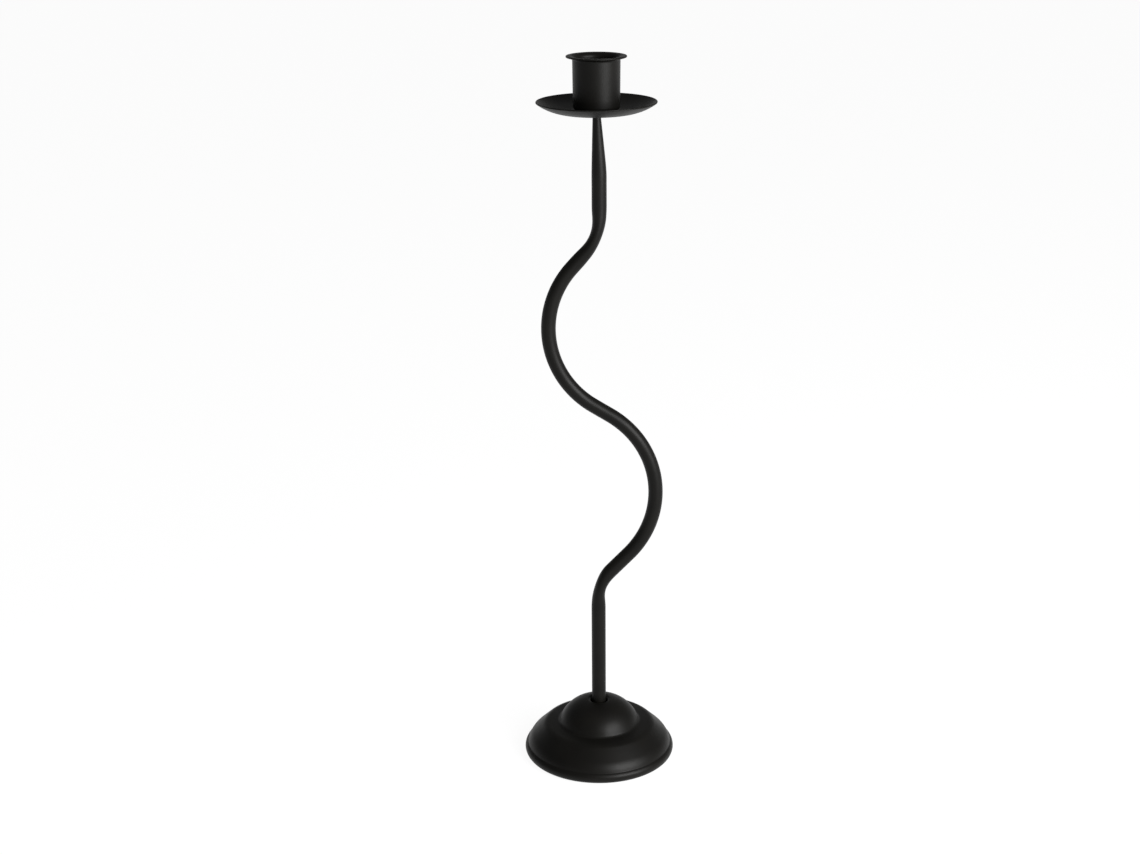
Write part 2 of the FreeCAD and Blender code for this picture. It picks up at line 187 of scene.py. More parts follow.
# %% Make the dish
DISH_SHEET = 0.85 * MM
DISH_FLAT = 15.7 * MM
DISH_COLUMNS = 200


def dish_outline():
    """Outline of the dish: out along its underside, round the rim and back along its inside."""
    low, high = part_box("drip_dish")
    half = DISH_SHEET / 2
    reach = high.x - half - DISH_FLAT
    rim_z = high.z - half
    rise = rim_z - low.z - half
    radius = (reach ** 2 + rise ** 2) / (2 * rise)
    centre = (DISH_FLAT, low.z + half + radius)
    rim = (DISH_FLAT + reach, rim_z)
    lean = bearing(centre, rim)
    return outline_of(
        (SCREW_HOLE, low.z),
        arc(centre, radius + half, -90, lean),
        arc(rim, half, lean, lean + 180),
        arc(centre, radius - half, lean, -90),
        (SCREW_HOLE, low.z + DISH_SHEET),
    )


dish = ring_piece("painted_dish", turned(dish_outline(), DISH_COLUMNS))

# %% [markdown]
# ## The base
#
# The base is a cover pressed in rounded tiers, like a bell: a crown, a shoulder, a skirt and a
# beaded rim that is rolled under. Each tier is an arc. Two straight slopes lie beside the
# shoulder: the brow above it, whose angle is given, and the flank below it, which is the line
# that touches both shoulder and skirt. Below the crown and above the rim the sheet turns the
# other way in a groove. In the middle of the crown is a small seat, which the stem stands in.
#
# The tiers keep to the base's own size: where a tier's centre lies and how round it is are
# shares of the base's radius, and how high it reaches is a share of the base's height.

# %% Describe the tiers of the base
BASE_HEIGHT = 33.0 * MM
BASE_SHEET = 1.0 * MM
RIM_BEAD = 3.3 * MM
RIM_CURL = 200.0
CROWN_GROOVE = 2.2 * MM
BROW_ANGLE = 86.0
RIM_GROOVE = 0.8 * MM
SEAT_DEPTH = 4.2 * MM
SEAT_RADIUS = 4.5 * MM
SEAT_CORNER = 0.5 * MM
SEAT_MOUTH = 2.0 * MM
BOLT_HOLE = 2.25 * MM
BASE_COLUMNS = 220

# Reach of the centre, radius of the arc and height of its top
CROWN_SHARES = (0.105, 0.449, 1)
SHOULDER_SHARES = (0.660, 0.134, 0.574)
SKIRT_SHARES = (0.690, 0.280, 0.466)


def tier_circle(reach_share, radius_share, top_share):
    """Centre and radius of a tier's arc; its top lies a radius above its centre."""
    _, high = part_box("base_shell")
    radius = radius_share * high.x
    return (reach_share * high.x, top_share * BASE_HEIGHT - radius), radius


crown, shoulder, skirt = (
    tier_circle(*shares) for shares in (CROWN_SHARES, SHOULDER_SHARES, SKIRT_SHARES)
)
for tier, (centre, radius) in zip(("crown", "shoulder", "skirt"), (crown, shoulder, skirt)):
    print(f"{tier}: centre {centre[0] / MM:.2f}, {centre[1] / MM:.2f} mm, radius {radius / MM:.2f} mm")

# %% [markdown]
# A groove could be drawn by hand too, but then it would meet its neighbours with a kink. Instead
# only its radius is given. Its circle has to touch what lies before and after it, and there is
# just one place for that: where the distance to either neighbour is right.

# %% Find where the grooves lie
def groove_centre(outer, inner, radius):
    """Centre of a circle of that radius that touches two round tiers from above.

    It lies at the sum of the radii from both centres, so along the line between them at
    (d * d + a * a - b * b) / (2 * d), and aside from it by the rest of a right triangle.
    """
    (near, near_radius), (far, far_radius) = outer, inner
    step = np.subtract(far, near)
    span = np.linalg.norm(step)
    reach = near_radius + radius
    along = (span ** 2 + reach ** 2 - (far_radius + radius) ** 2) / (2 * span)
    aside = math.sqrt(reach ** 2 - along ** 2)
    direction = step / span
    return near + direction * along + np.array([direction[1], -direction[0]]) * aside


def brow_groove(crown, shoulder, radius):
    """Centre of a circle of that radius that touches the crown and the straight brow from above.

    It lies on a line beside the brow, at the point whose distance from the crown's centre is the
    sum of both radii. With h the crown's centre measured along that line and c what remains,
    that point is at -h - sqrt(h * h - c), the nearer of the two where the line cuts the circle.
    """
    angle = math.radians(BROW_ANGLE)
    square = np.array([math.cos(angle), math.sin(angle)])
    along = np.array([-math.sin(angle), math.cos(angle)])
    above_shoulder = shoulder[0] + square * (shoulder[1] + radius)
    step = above_shoulder - crown[0]
    half = step @ along
    rest = step @ step - (crown[1] + radius) ** 2
    return above_shoulder + along * (-half - math.sqrt(half ** 2 - rest))


def groove_arc(centre, radius, before, after):
    """Arc in a groove, from where it leaves one tier's circle to where it meets the next."""
    first = bearing(centre, before[0])
    last = bearing(centre, after[0])
    return arc(centre, radius, first, last + 360 * (last < first))


# %% [markdown]
# One side of the sheet is now a walk from arc to arc: out of the seat, over the crown, down the
# tiers and round the rolled rim. The other side is the same walk, drawn in by the thickness of
# the sheet, and the two together close the outline.

# %% Draw the outline of the base
def base_side(inset):
    """One side of the sheet from the seat's corner to the end of the curl, drawn in by inset.

    Round tiers lose the inset from their radius and grooves gain it, so both sides stay parallel.
    The flank is square to the angle b + acos((r - s) / d), where b is the bearing from shoulder
    to skirt, r and s are their radii and d is the distance between their centres.
    """
    low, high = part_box("base_shell")
    bead = ((high.x - RIM_BEAD, low.z + RIM_BEAD), RIM_BEAD)
    upper = brow_groove(crown, shoulder, CROWN_GROOVE)
    lower = groove_centre(bead, skirt, RIM_GROOVE)
    span = math.dist(shoulder[0], skirt[0])
    lead = math.degrees(math.acos((shoulder[1] - skirt[1]) / span))
    flank = bearing(shoulder[0], skirt[0]) + lead

    corner = (SEAT_RADIUS - SEAT_CORNER, BASE_HEIGHT - SEAT_DEPTH + SEAT_CORNER)
    mouth_reach = SEAT_RADIUS + SEAT_MOUTH
    drop = math.sqrt((crown[1] - SEAT_MOUTH) ** 2 - (crown[0][0] - mouth_reach) ** 2)
    mouth = (mouth_reach, crown[0][1] + drop)
    mouth_end = bearing(crown[0], mouth)
    return outline_of(
        arc(corner, SEAT_CORNER + inset, -90, 0),
        arc(mouth, SEAT_MOUTH - inset, 180, mouth_end),
        arc(crown[0], crown[1] - inset, mouth_end, bearing(crown[0], upper)),
        arc(upper, CROWN_GROOVE + inset, bearing(upper, crown[0]), BROW_ANGLE - 180),
        arc(shoulder[0], shoulder[1] - inset, BROW_ANGLE, flank),
        arc(skirt[0], skirt[1] - inset, flank, bearing(skirt[0], lower)),
        groove_arc(lower, RIM_GROOVE + inset, skirt, bead),
        arc(bead[0], bead[1] - inset, bearing(bead[0], lower), -RIM_CURL),
    )


def base_outline():
    """Outline of the whole sheet: its outside out to the curl, back along its inside, seat floor."""
    seat_z = BASE_HEIGHT - SEAT_DEPTH
    floor = outline_of((BOLT_HOLE, seat_z - BASE_SHEET), (BOLT_HOLE, seat_z))
    return outline_of(base_side(0), base_side(BASE_SHEET)[::-1], floor)[::-1]


# %% Make the base
base = ring_piece("painted_base", turned(base_outline(), BASE_COLUMNS))

# %% [markdown]
# ## The stem
#
# The stem is one steel tube, pushed through a bender in a single plane. Its line is straight runs
# joined by arcs, each arc starting in the direction in which the run before it ended. A bezier
# curve drawn by eye would come close, but it bends a little everywhere, and the real tube doesn't.
# A thin tube flattens where it is bent tightly, so the two small bends are narrower in the plane
# of the S and wider across it. At the top the tube is hammered down to a tip.

# %% Walk along the stem
STEM_RADIUS = 4.0 * MM
STEM_WALL = 1.0 * MM
FOOT_RISE = 66.2 * MM
FOOT_BEND = 26.0 * MM
FOOT_LEAN = 43.9
FOOT_RUN = 14.2 * MM
RIGHT_LOOP = 52.9 * MM
CROSS_RUN = 10.5 * MM
LEFT_LOOP = 51.0 * MM
NECK_LEAN = 41.9
NECK_RUN = 10.4 * MM
NECK_BEND = 30.0 * MM
NECK_RISE = 20.8 * MM
NECK_OFFSET = 1.2 * MM
STATION_STEP = 0.8 * MM


def cross_lean():
    """Lean of the crossing, in degrees, that brings the neck back over the base.

    All sideways steps add up to the neck's offset. Only loops * cos(lean) - run * sin(lean)
    depends on the lean, and it equals swing * cos(lean + atan(run / loops)).
    """
    foot, neck = math.radians(FOOT_LEAN), math.radians(NECK_LEAN)
    foot_step = FOOT_BEND * (1 - math.cos(foot)) + FOOT_RUN * math.sin(foot)
    neck_step = NECK_BEND * (1 - math.cos(neck)) + NECK_RUN * math.sin(neck)
    loop_step = RIGHT_LOOP * math.cos(foot) + LEFT_LOOP * math.cos(neck)
    loops = RIGHT_LOOP + LEFT_LOOP
    wanted = (NECK_OFFSET - foot_step - neck_step + loop_step) / math.hypot(loops, CROSS_RUN)
    return math.degrees(math.acos(wanted) - math.atan2(CROSS_RUN, loops))


def stem_runs():
    """Runs from foot to neck as (length, turn in degrees towards +x)."""
    lean = cross_lean()
    bends = [
        (FOOT_BEND, FOOT_LEAN),
        (RIGHT_LOOP, -FOOT_LEAN - lean),
        (LEFT_LOOP, lean + NECK_LEAN),
        (NECK_BEND, -NECK_LEAN),
    ]
    straights = [FOOT_RISE, FOOT_RUN, CROSS_RUN, NECK_RUN, NECK_RISE]
    runs = [(straights[0], 0)]
    for (radius, turn), straight in zip(bends, straights[1:]):
        runs += [(radius * math.radians(abs(turn)), turn), (straight, 0)]
    return runs


def stem_line(start_z):
    """Distance, centre (n, 2) and lean in radians at stations along the stem, both ends in.

    The lean is the running sum of the turns, and is straight in the distance within each run. The
    centre is the running sum of the chords, each chord at the mean of its ends' leans and shorter
    than its arc by sin(h) / h, where h is half the turn between them.
    """
    runs = stem_runs()
    ends = np.cumsum([0] + [length for length, _ in runs])
    leans = np.radians(np.cumsum([0] + [turn for _, turn in runs]))
    counts = [math.ceil(length / STATION_STEP) for length, _ in runs]
    spans = [np.linspace(a, b, n, endpoint=False) for a, b, n in zip(ends, ends[1:], counts)]
    distance = np.append(np.concatenate(spans), ends[-1])
    lean = np.interp(distance, ends, leans)
    middle = (lean[1:] + lean[:-1]) / 2
    chord = np.diff(distance) * np.sinc(np.diff(lean) / math.tau)
    steps = np.stack([chord * np.sin(middle), chord * np.cos(middle)], axis=-1)
    centre = np.array([0, start_z]) + np.vstack([[0, 0], np.cumsum(steps, axis=0)])
    return distance, centre, lean


stem_low, stem_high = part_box("stem_tube")
line_distance, line_centre, line_lean = stem_line(stem_low.z)
print(f"crossing leans {cross_lean():.2f} degrees, neck ends at {line_centre[-1] / MM} mm")

# %% [markdown]
# The tube's section is an oval that changes along the line. Each pinch is a smooth bump that
# starts on the straight run before its bend: the bender's form presses there first. For the tip,
# the tube closes along a curve that starts level and ends nearly straight.

# %% Give the stem its thickness
FOOT_PINCH = 0.185
FOOT_LEAD = 5.0 * MM
FOOT_TAIL = 0.5 * MM
NECK_PINCH = 0.20
NECK_LEAD = 7.0 * MM
NECK_TAIL = 6.0 * MM
PINCH_SPREAD = 0.7
TIP_RADIUS = 2.05 * MM
TIP_BORE = 1.55 * MM
THREAD_DEPTH = 12.0 * MM
SWAGE_SOFTNESS = 0.15
STEM_COLUMNS = 72
BORE_SKIP = 5


def pinch(distance, start, end, depth):
    """Share by which the tube is narrower: depth * sin squared, from 0 at start to 0 at end."""
    share = np.clip((distance - start) / (end - start), 0, 1)
    return depth * np.sin(math.pi * share) ** 2


def stem_press(distance):
    """Narrowing at each station, from the two tight bends."""
    ends = np.cumsum([length for length, _ in stem_runs()])
    foot = pinch(distance, ends[0] - FOOT_LEAD, ends[1] + FOOT_TAIL, FOOT_PINCH)
    neck = pinch(distance, ends[6] - NECK_LEAD, ends[7] + NECK_TAIL, NECK_PINCH)
    return foot + neck


def closing(share):
    """How far the tube has closed: hypot(share, softness), moved and scaled to run from 0 to 1."""
    rise = np.hypot(share, SWAGE_SOFTNESS) - SWAGE_SOFTNESS
    return rise / (math.hypot(1, SWAGE_SOFTNESS) - SWAGE_SOFTNESS)


def swage(bottom, top, start_radius, end_radius):
    """Stations over the neck: centre (n, 2), radius (n), closing from the tube to the tip."""
    share = np.linspace(0, 1, math.ceil((top - bottom) / STATION_STEP) + 1)[1:]
    shut = closing(share)
    centre = np.stack([NECK_OFFSET * (1 - shut), bottom + (top - bottom) * share], axis=-1)
    return centre, start_radius + (end_radius - start_radius) * shut


def tube_side(centre, lean, half_width, half_depth):
    """Grid of ovals square to a line: centre + width * cos * across + depth * sin * y."""
    angle = np.linspace(0, math.tau, STEM_COLUMNS, endpoint=False)
    wide = half_width[:, None] * np.cos(angle)
    deep = half_depth[:, None] * np.sin(angle)
    x = centre[:, :1] + wide * np.cos(lean)[:, None]
    z = centre[:, 1:] - wide * np.sin(lean)[:, None]
    return np.stack([x, deep, z], axis=-1)


def stem_side(inset, top, end_radius):
    """One side of the tube from the foot to the end of its swage, drawn in by inset."""
    press = stem_press(line_distance)
    width = STEM_RADIUS * (1 - press) - inset
    depth = STEM_RADIUS * (1 + press * PINCH_SPREAD) - inset
    tip_centre, tip_radius = swage(line_centre[-1, 1], top, STEM_RADIUS - inset, end_radius)
    centre = np.vstack([line_centre, tip_centre])
    lean = np.append(line_lean, np.zeros(len(tip_centre)))
    return tube_side(centre, lean, np.append(width, tip_radius), np.append(depth, tip_radius))


def stem_grid():
    """The whole tube: up its outside, over the tip, down the thread and the bore to the foot."""
    outside = stem_side(0, stem_high.z, TIP_RADIUS)
    bore = stem_side(STEM_WALL, stem_high.z - THREAD_DEPTH, TIP_BORE)
    mouth = bore[-1] + [0, 0, THREAD_DEPTH]
    return np.concatenate([outside, mouth[None], bore[::-BORE_SKIP], bore[:1]])


stem = ring_piece("painted_stem", stem_grid())

# %% [markdown]
# ## The felt
#
# A felt disc under the weight keeps the iron off the table. Felt is cut with a punch, so its edge
# is straight but not clean: fibres pull out of it by a tenth of a millimetre or so. The disc is
# the one piece that reaches the axis, where a ring of thin triangles closes it.

# %% Make the felt
FELT_ROUND = 0.35 * MM
FELT_FRAY = 0.12 * MM
FELT_RINGS = 10
FELT_COLUMNS = 240
FRAY_FIRST = 3
FRAY_WAVES = 24
FRAY_LEAST = 0.3
FRAY_FADE = 12
FRAY_SEED = 7


def disc_faces(rows, columns):
    """Faces of a grid with a pole at each end, the poles being the last two points."""
    index = np.arange(rows * columns).reshape(rows, columns)
    beside = np.roll(index, -1, axis=1)
    sides = np.stack([index[:-1], beside[:-1], beside[1:], index[1:]], axis=-1).reshape(-1, 4)
    bottom = np.stack([index[0], np.full(columns, rows * columns), beside[0]], axis=-1)
    top = np.stack([index[-1], beside[-1], np.full(columns, rows * columns + 1)], axis=-1)
    return sides.tolist() + bottom.tolist() + top.tolist()


def frayed(angle):
    """Uneven edge as a sum of waves round the disc, with seeded sizes and phases, from 0 to 1."""
    random = np.random.default_rng(FRAY_SEED)
    waves = np.arange(FRAY_FIRST, FRAY_FIRST + FRAY_WAVES)[:, None] * 2
    size = random.uniform(FRAY_LEAST, 1, (FRAY_WAVES, 1))
    phase = random.uniform(0, math.tau, (FRAY_WAVES, 1))
    total = (size * np.sin(waves * angle + phase)).sum(axis=0)
    return (total - total.min()) / np.ptp(total)


def felt_piece():
    """Disc with a rounded edge, which is drawn in unevenly: reach * (1 - fade * fray * unevenness).

    The fade is a high power of the reach, so that only the edge moves and the faces stay put.
    """
    low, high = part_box("felt_pad")
    shares = np.linspace(1 / FELT_RINGS, 1, FELT_RINGS)
    inner = (high.x - FELT_ROUND) * shares[:, None]
    under = np.hstack([inner, np.full_like(inner, low.z)])
    over = np.hstack([inner, np.full_like(inner, high.z)])[::-1]
    lower = arc((high.x - FELT_ROUND, low.z + FELT_ROUND), FELT_ROUND, -90, 0)
    upper = arc((high.x - FELT_ROUND, high.z - FELT_ROUND), FELT_ROUND, 0, 90)
    grid = turned(outline_of(under, lower, upper, over), FELT_COLUMNS)
    angle = np.linspace(0, math.tau, FELT_COLUMNS, endpoint=False)
    reach = np.linalg.norm(grid[..., :2], axis=-1, keepdims=True)
    fade = np.clip(reach / high.x, 0, 1) ** FRAY_FADE
    grid[..., :2] *= 1 - fade * FELT_FRAY / high.x * frayed(angle)[:, None]
    poles = np.array([[0, 0, low.z], [0, 0, high.z]])
    points = np.vstack([grid.reshape(-1, 3), poles])
    return mesh_piece("felt_disc", points, disc_faces(len(grid), FELT_COLUMNS))


felt = felt_piece()

# %% [markdown]
# ## Materials
#
# Every finish is worked out from where a point lies on the piece, in Object coordinates, so it
# stays put when the camera or the object moves. A few small helpers keep the node trees short: a
# noise of a given grain size, a spread that turns the noise into a range of values, and a bump of
# a given depth.

# %% Small helpers for node trees
NOISE_LOW = 0.3
NOISE_HIGH = 0.7


def new_material(name):
    """Material with its tree, its shader and a node that gives Object coordinates."""
    material = bpy.data.materials.new(name)
    material.use_nodes = True
    tree = material.node_tree
    place = tree.nodes.new("ShaderNodeTexCoord").outputs["Object"]
    return material, tree, tree.nodes["Principled BSDF"], place


def noise(tree, place, grain, detail=2.0, stretch=(1, 1, 1)):
    """Noise with spots of about the size of grain, in metres, longer where stretch is below 1."""
    node = tree.nodes.new("ShaderNodeTexNoise")
    mapping = tree.nodes.new("ShaderNodeMapping")
    mapping.inputs["Scale"].default_value = [part / grain for part in stretch]
    node.inputs["Scale"].default_value = 1
    node.inputs["Detail"].default_value = detail
    tree.links.new(place, mapping.inputs["Vector"])
    tree.links.new(mapping.outputs["Vector"], node.inputs["Vector"])
    return node.outputs["Fac"]


def spread(tree, value, low, high):
    """Noise, which lies mostly between 0.3 and 0.7, as a value between low and high."""
    node = tree.nodes.new("ShaderNodeMapRange")
    node.inputs["From Min"].default_value = NOISE_LOW
    node.inputs["From Max"].default_value = NOISE_HIGH
    node.inputs["To Min"].default_value = low
    node.inputs["To Max"].default_value = high
    tree.links.new(value, node.inputs["Value"])
    return node.outputs["Result"]


def blend_colours(tree, factor, first, second):
    """Colour between two, by a factor from 0 to 1."""
    node = tree.nodes.new("ShaderNodeMix")
    node.data_type = "RGBA"
    node.inputs["A"].default_value = (*first, 1)
    node.inputs["B"].default_value = (*second, 1)
    tree.links.new(factor, node.inputs["Factor"])
    return node.outputs["Result"]


def bump(tree, height, depth, under=None):
    """Normal from a height that stands for depth metres, on top of another bump if one is given."""
    node = tree.nodes.new("ShaderNodeBump")
    node.inputs["Strength"].default_value = 1
    node.inputs["Distance"].default_value = depth
    tree.links.new(height, node.inputs["Height"])
    if under:
        tree.links.new(under, node.inputs["Normal"])
    return node.outputs["Normal"]


# %% [markdown]
# ### Satin black paint
#
# The paint is sprayed on in one thin coat, black with a trace of brown. It isn't glossy: a lamp
# shows in it as a wide soft patch. Close to, the patch is broken up by a very fine texture, by
# the slow waves of a coat that ran a little before it dried, and by places that dried duller than
# others. One noise for each of these, at its own size, gives all three.

# %% Make the paint
PAINT_DARK = (0.0033, 0.0031, 0.0026)
PAINT_LIGHT = (0.0056, 0.0052, 0.0043)
PAINT_GRAIN = 0.45 * MM
PAINT_WAVE = 3.5 * MM
PAINT_PATCH = 14 * MM
PAINT_GRAIN_DEPTH = 0.015 * MM
PAINT_WAVE_DEPTH = 0.03 * MM
PAINT_GLOSS = 0.14
PAINT_ROUGH = (0.48, 0.40)


def paint_material():
    """Black paint, with fine texture, slow waves and duller patches."""
    material, tree, shader, place = new_material("satin_black_paint")
    patch = noise(tree, place, PAINT_PATCH, detail=3.0)
    grain = noise(tree, place, PAINT_GRAIN)
    wave = noise(tree, place, PAINT_WAVE)
    tone = spread(tree, patch, 0, 1)
    tree.links.new(blend_colours(tree, tone, PAINT_DARK, PAINT_LIGHT), shader.inputs["Base Color"])
    tree.links.new(spread(tree, patch, *PAINT_ROUGH), shader.inputs["Roughness"])
    slow = bump(tree, wave, PAINT_WAVE_DEPTH)
    tree.links.new(bump(tree, grain, PAINT_GRAIN_DEPTH, under=slow), shader.inputs["Normal"])
    shader.inputs["Specular IOR Level"].default_value = PAINT_GLOSS
    return material


paint = paint_material()
print("made", paint.name)

# %% [markdown]
# ### Metal and felt
#
# The rest hardly shows: the screw at the bottom of the cup is blackened steel, the bolt and its
# washers are zinc-plated, the weight is a rough iron casting and the pad is short-haired felt.
# Each still has its own grain, because someone may take the candlestick apart.

# %% Make the other finishes
STEEL_BLACK = ((0.020, 0.020, 0.022), (0.042, 0.041, 0.043))
STEEL_ZINC = ((0.47, 0.48, 0.50), (0.60, 0.60, 0.58))
IRON = ((0.075, 0.074, 0.076), (0.14, 0.138, 0.136))
FELT = ((0.010, 0.010, 0.011), (0.030, 0.030, 0.031))
FELT_FIBRE = 0.25 * MM
FELT_RELIEF = 0.15 * MM
FELT_STRETCH = 0.2
FELT_ROUGH = 0.95
FELT_SHEEN = 0.25


def metal_material(name, colours, grain, depth, rough, metallic):
    """Metal with a mottled colour, a varying dullness and a fine relief."""
    material, tree, shader, place = new_material(name)
    spots = noise(tree, place, grain, detail=4.0)
    fine = noise(tree, place, grain / 4)
    tone = spread(tree, spots, 0, 1)
    tree.links.new(blend_colours(tree, tone, *colours), shader.inputs["Base Color"])
    tree.links.new(spread(tree, spots, *rough), shader.inputs["Roughness"])
    tree.links.new(bump(tree, fine, depth), shader.inputs["Normal"])
    shader.inputs["Metallic"].default_value = metallic
    return material


def felt_material():
    """Felt: fibres lying every way, as two stretched noises across each other, and dull."""
    material, tree, shader, place = new_material("black_felt")
    first = noise(tree, place, FELT_FIBRE, detail=3.0, stretch=(1, FELT_STRETCH, 1))
    second = noise(tree, place, FELT_FIBRE, detail=3.0, stretch=(FELT_STRETCH, 1, 1))
    both = tree.nodes.new("ShaderNodeMath")
    both.operation = "MAXIMUM"
    tree.links.new(first, both.inputs[0])
    tree.links.new(second, both.inputs[1])
    fibres = both.outputs["Value"]
    tone = spread(tree, fibres, 0, 1)
    tree.links.new(blend_colours(tree, tone, *FELT), shader.inputs["Base Color"])
    tree.links.new(bump(tree, fibres, FELT_RELIEF), shader.inputs["Normal"])
    shader.inputs["Roughness"].default_value = FELT_ROUGH
    shader.inputs["Sheen Weight"].default_value = FELT_SHEEN
    return material


black_steel = metal_material(
    "blackened_steel", STEEL_BLACK, grain=0.6 * MM, depth=0.004 * MM, rough=(0.34, 0.48), metallic=1
)
zinc_steel = metal_material(
    "zinc_plated_steel", STEEL_ZINC, grain=0.8 * MM, depth=0.003 * MM, rough=(0.28, 0.42), metallic=1
)
grey_iron = metal_material(
    "grey_iron_casting", IRON, grain=1.6 * MM, depth=0.09 * MM, rough=(0.55, 0.75), metallic=0.6
)
black_felt = felt_material()
print("made", ", ".join(finish.name for finish in (black_steel, zinc_steel, grey_iron, black_felt)))

# %% [markdown]
# ## Put the pieces in place
#
# A new piece rides on the object's one body, stands for a solid of the imported model and takes its
# finish from the list below. The solids whose own shape is right, the fasteners and the weight, stay
# and only get a material.

# %% Attach pieces and finishes
NEW_PIECES = [
    (cup, "candle_cup", "black_paint", paint),
    (dish, "drip_dish", "black_paint", paint),
    (stem, "stem_tube", "black_paint", paint),
    (base, "base_shell", "black_paint", paint),
    (felt, "felt_pad", "felt", black_felt),
]
KEPT_SOLIDS = {
    "cup_screw": black_steel,
    "stem_foot_plug": zinc_steel,
    "base_bolt": zinc_steel,
    "base_washer": zinc_steel,
    "base_spring_washer": zinc_steel,
    "base_weight": grey_iron,
}
for piece, node_name, slot_name, material in NEW_PIECES:
    piece.data.materials.append(material)
    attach(piece, "root")
    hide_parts(node_name)
for node_name, material in KEPT_SOLIDS.items():
    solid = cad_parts[node_name]
    if not solid.material_slots:
        solid.data.materials.append(material)
    for material_slot in solid.material_slots:
        material_slot.material = material
print(f"{len(NEW_PIECES)} new pieces, {len(KEPT_SOLIDS)} kept solids")

# %% [markdown]
# ## The floor
#
# The candlestick stands on a white floor that runs on to the horizon, so it is the background
# too. A floor that is lit to full white would light the black paint far too much from below. So
# it has two looks: the object is lit by a plain grey floor, and the camera sees a white one.

# %% Make the floor
FLOOR_REACH = 18.0
FLOOR_DROP = 0.05 * MM
FLOOR_GREY = 0.4
FLOOR_SHOWN_GREY = 0.12
FLOOR_GLOW = 0.94


def floor_material():
    """Floor that lights the object as plain grey, and shows white with a faint shadow.

    For rays from the camera, and for those that metal and glass send on, most of the white is
    glow, and only the rest is lit, so that the shadow stays faint.
    """
    material, tree, shader, _ = new_material("white_floor")
    rays = tree.nodes.new("ShaderNodeLightPath").outputs
    seen = rays["Is Camera Ray"]
    for kind in ("Is Glossy Ray", "Is Transmission Ray"):
        either = tree.nodes.new("ShaderNodeMath")
        either.operation = "MAXIMUM"
        tree.links.new(seen, either.inputs[0])
        tree.links.new(rays[kind], either.inputs[1])
        seen = either.outputs["Value"]
    grey = blend_colours(tree, seen, (FLOOR_GREY,) * 3, (FLOOR_SHOWN_GREY,) * 3)
    glow = tree.nodes.new("ShaderNodeMath")
    glow.operation = "MULTIPLY"
    glow.inputs[1].default_value = FLOOR_GLOW
    tree.links.new(seen, glow.inputs[0])
    tree.links.new(grey, shader.inputs["Base Color"])
    tree.links.new(glow.outputs["Value"], shader.inputs["Emission Strength"])
    shader.inputs["Emission Color"].default_value = (1, 1, 1, 1)
    shader.inputs["Roughness"].default_value = 1
    shader.inputs["Specular IOR Level"].default_value = 0
    return material


reach = FLOOR_REACH
corners = [(-reach, -reach), (reach, -reach), (reach, reach), (-reach, reach)]
floor_points = np.array([(x, y, -FLOOR_DROP) for x, y in corners])
floor = mesh_piece("floor", floor_points, [(0, 1, 2, 3)])
floor.data.materials.append(floor_material())

# %% [markdown]
# ## The lamp
#
# One large soft lamp stands to the right of the camera. It makes the wide highlights on cup,
# crown and skirt, and is strong enough to show a colour about as it is written, and no stronger.
# A small lamp or a spot would leave hard bright dots on the paint, which the real one hasn't.

# %% Place the lamp
LAMP_SIDE = 44.0
LAMP_DISTANCE = 1.25
LAMP_HEIGHT = 0.62
LAMP_SIZE = (0.9, 0.8)
LAMP_POWER = 30.0
LAMP_AIM = Vector((0, 0, 0.2))

lamp_data = bpy.data.lights.new("soft_lamp", "AREA")
lamp_data.shape = "RECTANGLE"
lamp_data.size, lamp_data.size_y = LAMP_SIZE
lamp_data.energy = LAMP_POWER
lamp = bpy.data.objects.new("soft_lamp", lamp_data)
bpy.context.scene.collection.objects.link(lamp)
side = math.radians(LAMP_SIDE)
lamp.location = (math.sin(side) * LAMP_DISTANCE, -math.cos(side) * LAMP_DISTANCE, LAMP_HEIGHT)
lamp.rotation_mode = "QUATERNION"
lamp.rotation_quaternion = (lamp.location - LAMP_AIM).to_track_quat("Z", "Y")
lamp.visible_camera = False
print("lamp", LAMP_SIDE, "degrees to the right,", LAMP_HEIGHT, "m up")

# %% [markdown]
# ## The room
#
# Black paint is seen mostly by what it mirrors. The room is dim all round, a little more so
# overhead, which keeps the faces that look up black. Only the wall behind the candlestick is
# lighter near the floor, and it shows as a grey sheen on the dish, the crown and other faces
# that lean back. An even white room would be simpler, but in it the whole paint turns grey.

# %% Light the room
SKY_LOW = 0.25
SKY_HIGH = 0.2
SKY_BAND = (10.0, 24.0)
WALL_LIGHT = 0.35
WALL_SIDE = (30.0, 60.0)
WALL_TOP = (5.0, 20.0)

world = bpy.data.worlds.new("studio")
bpy.context.scene.world = world
world.use_nodes = True
sky_tree = world.node_tree


def sine_band(axis_value, band, ends):
    """Strength that goes smoothly from one value to another across a band of angles.

    For the axis Z the angle is the height above the horizon, and for Y it is how far a direction
    leans to the back. Its sine is the direction's part along that axis.
    """
    node = sky_tree.nodes.new("ShaderNodeMapRange")
    node.interpolation_type = "SMOOTHSTEP"
    node.inputs["From Min"].default_value = math.sin(math.radians(band[0]))
    node.inputs["From Max"].default_value = math.sin(math.radians(band[1]))
    node.inputs["To Min"].default_value = ends[0]
    node.inputs["To Max"].default_value = ends[1]
    sky_tree.links.new(axis_value, node.inputs["Value"])
    return node.outputs["Result"]


def combined(operation, first, second):
    """Two values of the room as one, by a named operation such as ADD or MULTIPLY."""
    node = sky_tree.nodes.new("ShaderNodeMath")
    node.operation = operation
    sky_tree.links.new(first, node.inputs[0])
    sky_tree.links.new(second, node.inputs[1])
    return node.outputs["Value"]


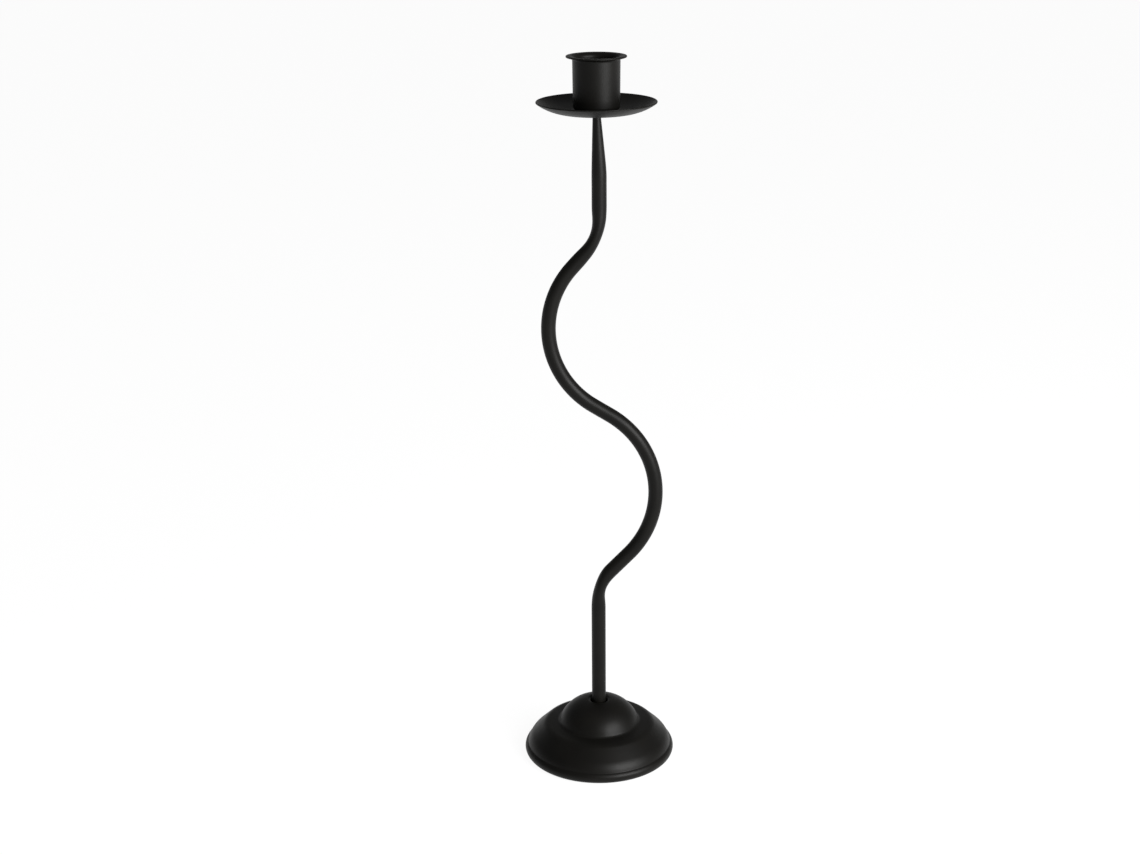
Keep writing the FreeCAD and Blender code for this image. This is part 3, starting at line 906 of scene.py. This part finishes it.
parts = sky_tree.nodes.new("ShaderNodeSeparateXYZ")
direction = sky_tree.nodes.new("ShaderNodeTexCoord").outputs["Generated"]
sky_tree.links.new(direction, parts.inputs["Vector"])
room = sine_band(parts.outputs["Z"], SKY_BAND, (SKY_LOW, SKY_HIGH))
wall_side = sine_band(parts.outputs["Y"], WALL_SIDE, (0, 1))
wall_top = sine_band(parts.outputs["Z"], WALL_TOP, (WALL_LIGHT, 0))
strength = combined("ADD", room, combined("MULTIPLY", wall_side, wall_top))
sky_tree.links.new(strength, sky_tree.nodes["Background"].inputs["Strength"])
sky_tree.nodes["Background"].inputs["Color"].default_value = (1, 1, 1, 1)
print("room", SKY_LOW, "low and", SKY_HIGH, "high, the wall behind", WALL_LIGHT, "more")

# %% [markdown]
# ## The camera
#
# The camera stands about a metre away and looks down on the candlestick. Its place and lens were
# found by matching the ovals of lip, dish and base and the run of the stem in a picture of
# 1140 by 855 pixels. It is turned by a rotation with the right, up and backward directions as its
# columns, and rolled by half a degree.

# %% Place the camera
CAMERA_DISTANCE = 964.07 * MM
CAMERA_HEIGHT = 522.02 * MM
CAMERA_PITCH = math.radians(18.5765)
CAMERA_YAW = math.radians(-0.9088)
CAMERA_ROLL = math.radians(-0.5285)
SENSOR_WIDTH = 36.0
PICTURE_WIDTH = 1140
FOCAL_PIXELS = 1851.49

forward = Vector((
    math.sin(CAMERA_YAW) * math.cos(CAMERA_PITCH),
    math.cos(CAMERA_YAW) * math.cos(CAMERA_PITCH),
    -math.sin(CAMERA_PITCH),
))
level = forward.cross(Vector((0, 0, 1))).normalized()
upright = level.cross(forward)
right = level * math.cos(CAMERA_ROLL) + upright * math.sin(CAMERA_ROLL)
up = upright * math.cos(CAMERA_ROLL) - level * math.sin(CAMERA_ROLL)
camera_data = bpy.data.cameras.new("camera")
camera_data.sensor_width = SENSOR_WIDTH
camera_data.lens = FOCAL_PIXELS / PICTURE_WIDTH * SENSOR_WIDTH
camera = bpy.data.objects.new("camera", camera_data)
bpy.context.scene.collection.objects.link(camera)
turn = Matrix((right, up, -forward)).transposed().to_4x4()
camera.matrix_world = Matrix.Translation((0, -CAMERA_DISTANCE, CAMERA_HEIGHT)) @ turn
bpy.context.scene.camera = camera
bpy.context.scene.view_settings.view_transform = "Standard"
print(f"lens {camera_data.lens:.2f} mm")
